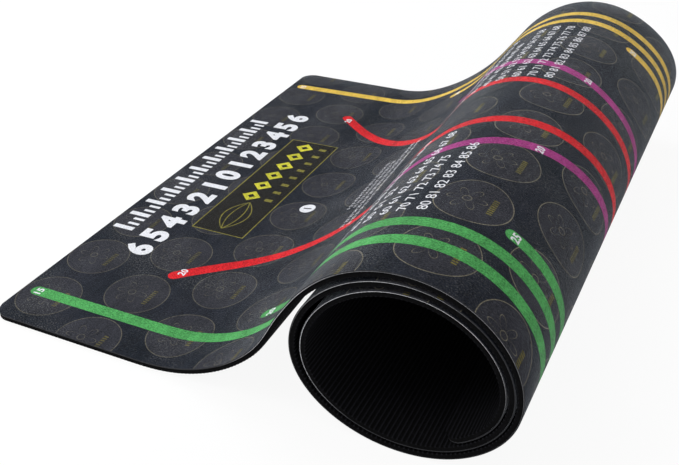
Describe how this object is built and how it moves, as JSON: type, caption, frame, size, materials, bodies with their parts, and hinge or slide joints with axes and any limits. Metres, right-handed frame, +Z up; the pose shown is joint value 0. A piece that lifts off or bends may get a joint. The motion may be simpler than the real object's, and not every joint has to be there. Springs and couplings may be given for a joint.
{
  "type": "yoga mat",
  "caption": "Rubber yoga mat with a printed suede face, partly rolled up, one end lying flat and free to be lifted and bent.",
  "frame": {"origin": "on the floor, at the middle of the mat's box", "axes": "+Z up, +Y along the roll from the end shown nearest, +X from the flat end towards the roll"},
  "size_m": [0.5249, 0.6601, 0.1669],
  "materials": {
    "natural_rubber": "matte black foamed rubber, finely ribbed across the mat",
    "printed_suede": "short-nap microfibre suede, charcoal ground with printed coloured lines"
  },
  "bodies": {
    "roll": {"rubber_base_roll": "natural_rubber", "suede_face_roll": "printed_suede"},
    "flap_inner": {"rubber_base_flap_inner": "natural_rubber", "suede_face_flap_inner": "printed_suede"},
    "flap_middle": {"rubber_base_flap_middle": "natural_rubber", "suede_face_flap_middle": "printed_suede"},
    "flap_outer": {"rubber_base_flap_outer": "natural_rubber", "suede_face_flap_outer": "printed_suede"}
  },
  "joints": [
    {"name": "bend_inner", "type": "hinge", "parent": "roll", "child": "flap_inner", "pos_m": [-0.12446, 0, 0.0055], "axis": [0, 1, 0], "range_deg": [0, 45], "stiffness_Nm_per_rad": 0.2},
    {"name": "bend_middle", "type": "hinge", "parent": "flap_inner", "child": "flap_middle", "pos_m": [-0.17046, 0, 0.0055], "axis": [0, 1, 0], "range_deg": [0, 45], "stiffness_Nm_per_rad": 0.2},
    {"name": "bend_outer", "type": "hinge", "parent": "flap_middle", "child": "flap_outer", "pos_m": [-0.21646, 0, 0.0055], "axis": [0, 1, 0], "range_deg": [0, 45], "stiffness_Nm_per_rad": 0.2}
  ]
}
